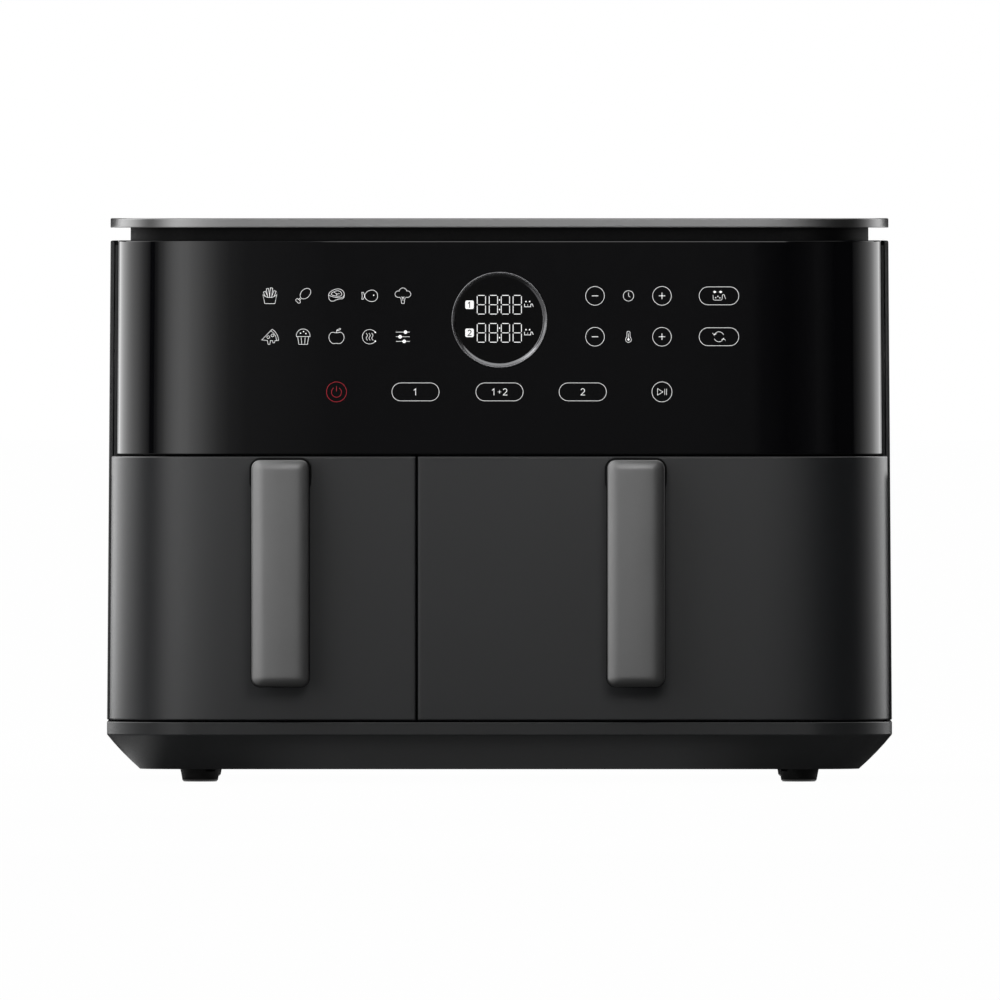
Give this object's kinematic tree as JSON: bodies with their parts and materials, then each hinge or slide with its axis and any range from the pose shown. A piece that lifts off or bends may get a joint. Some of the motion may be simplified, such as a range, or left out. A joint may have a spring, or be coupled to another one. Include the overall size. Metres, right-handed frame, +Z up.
{
  "type": "dual-drawer air fryer",
  "caption": "Counter-top air fryer with a narrow and a wide slide-out basket drawer, bar handles, glossy touch panel with a round display, and a floating top plate.",
  "frame": {"origin": "on the table, under the middle of the whole part's box", "axes": "+Z up, +X to the viewer's right across the front, -Y out of the front, the way the drawers open"},
  "size_m": [0.425, 0.4026, 0.305],
  "materials": {
    "housing_plastic": "fine satin texture",
    "fascia_gloss": "piano gloss",
    "smoked_lens": "smoked gloss",
    "bezel_dark": "dark satin metal paint",
    "drawer_satin": "satin paint",
    "liner_plastic": "matt",
    "handle_black": "satin",
    "handle_grey": "satin metallic paint",
    "top_metallic": "satin metallic paint",
    "foot_rubber": "matt",
    "silicone": "matt",
    "nonstick": "non-stick coat",
    "chamber_steel": "coated sheet steel",
    "element_steel": "heat-darkened tube",
    "fan_aluminium": "stamped",
    "bright_steel": "zinc plated",
    "motor_steel": "plated can",
    "board": "solder mask",
    "switch_plastic": "matt"
  },
  "bodies": {
    "housing": {"base_tray": "housing_plastic", "rubber_feet": "foot_rubber", "base_screws": "bright_steel", "outer_shell": "housing_plastic", "rear_cover": "housing_plastic", "rear_cover_screws": "bright_steel", "cord_gland": "handle_black", "front_frame": "housing_plastic", "control_fascia": "fascia_gloss", "display_ring": "bezel_dark", "display_lens": "smoked_lens", "display_module": "handle_black", "touch_board": "board", "power_board": "board", "board_screws": "bright_steel", "top_deck": "housing_plastic", "deck_screws": "bright_steel", "top_plate": "top_metallic", "drawer_runners": "chamber_steel", "exhaust_ducts": "chamber_steel", "temperature_probes": "bright_steel", "motor_brackets": "chamber_steel", "motor_screws": "bright_steel", "drawer_switches": "switch_plastic", "left_chamber": "chamber_steel", "left_heater_housing": "chamber_steel", "left_heating_element": "element_steel", "left_element_guard": "chamber_steel", "left_fan_motor": "motor_steel", "right_chamber": "chamber_steel", "right_heater_housing": "chamber_steel", "right_heating_element": "element_steel", "right_element_guard": "chamber_steel", "right_fan_motor": "motor_steel"},
    "left_drawer": {"left_drawer_front": "drawer_satin", "left_drawer_liner": "liner_plastic", "left_handle_core": "handle_black", "left_handle_cover": "handle_grey", "left_handle_screws": "bright_steel", "left_basket": "nonstick"},
    "left_crisper": {"left_crisper_plate": "nonstick", "left_plate_bumpers": "silicone"},
    "left_fan": {"left_motor_shaft": "bright_steel", "left_hot_fan": "fan_aluminium", "left_cooling_fan": "fan_aluminium", "left_fan_nut": "bright_steel"},
    "left_plunger": {"left_switch_plunger": "switch_plastic"},
    "right_drawer": {"right_drawer_front": "drawer_satin", "right_drawer_liner": "liner_plastic", "right_handle_core": "handle_black", "right_handle_cover": "handle_grey", "right_handle_screws": "bright_steel", "right_basket": "nonstick"},
    "right_crisper": {"right_crisper_plate": "nonstick", "right_plate_bumpers": "silicone"},
    "right_fan": {"right_motor_shaft": "bright_steel", "right_hot_fan": "fan_aluminium", "right_cooling_fan": "fan_aluminium", "right_fan_nut": "bright_steel"},
    "right_plunger": {"right_switch_plunger": "switch_plastic"}
  },
  "joints": [
    {"name": "left_drawer_slide", "type": "slide", "parent": "housing", "child": "left_drawer", "axis": [0, -1, 0], "range_m": [0, 0.25]},
    {"name": "left_crisper_lift", "type": "slide", "parent": "left_drawer", "child": "left_crisper", "axis": [0, 0, 1], "range_m": [0, 0.105]},
    {"name": "left_fan_spin", "type": "hinge", "parent": "housing", "child": "left_fan", "pos_m": [-0.1183, 0.0121, 0.189], "axis": [0, 0, 1], "continuous": true},
    {"name": "left_plunger_slide", "type": "slide", "parent": "housing", "child": "left_plunger", "axis": [0, -1, 0], "range_m": [0, 0.0025]},
    {"name": "right_drawer_slide", "type": "slide", "parent": "housing", "child": "right_drawer", "axis": [0, -1, 0], "range_m": [0, 0.25]},
    {"name": "right_crisper_lift", "type": "slide", "parent": "right_drawer", "child": "right_crisper", "axis": [0, 0, 1], "range_m": [0, 0.105]},
    {"name": "right_fan_spin", "type": "hinge", "parent": "housing", "child": "right_fan", "pos_m": [0.0736, 0.0121, 0.189], "axis": [0, 0, 1], "continuous": true},
    {"name": "right_plunger_slide", "type": "slide", "parent": "housing", "child": "right_plunger", "axis": [0, -1, 0], "range_m": [0, 0.0025]}
  ],
  "couplings": [
    {"joint": "left_plunger_slide", "follows": "left_drawer_slide", "ratio": 0.01},
    {"joint": "right_plunger_slide", "follows": "right_drawer_slide", "ratio": 0.01}
  ]
}
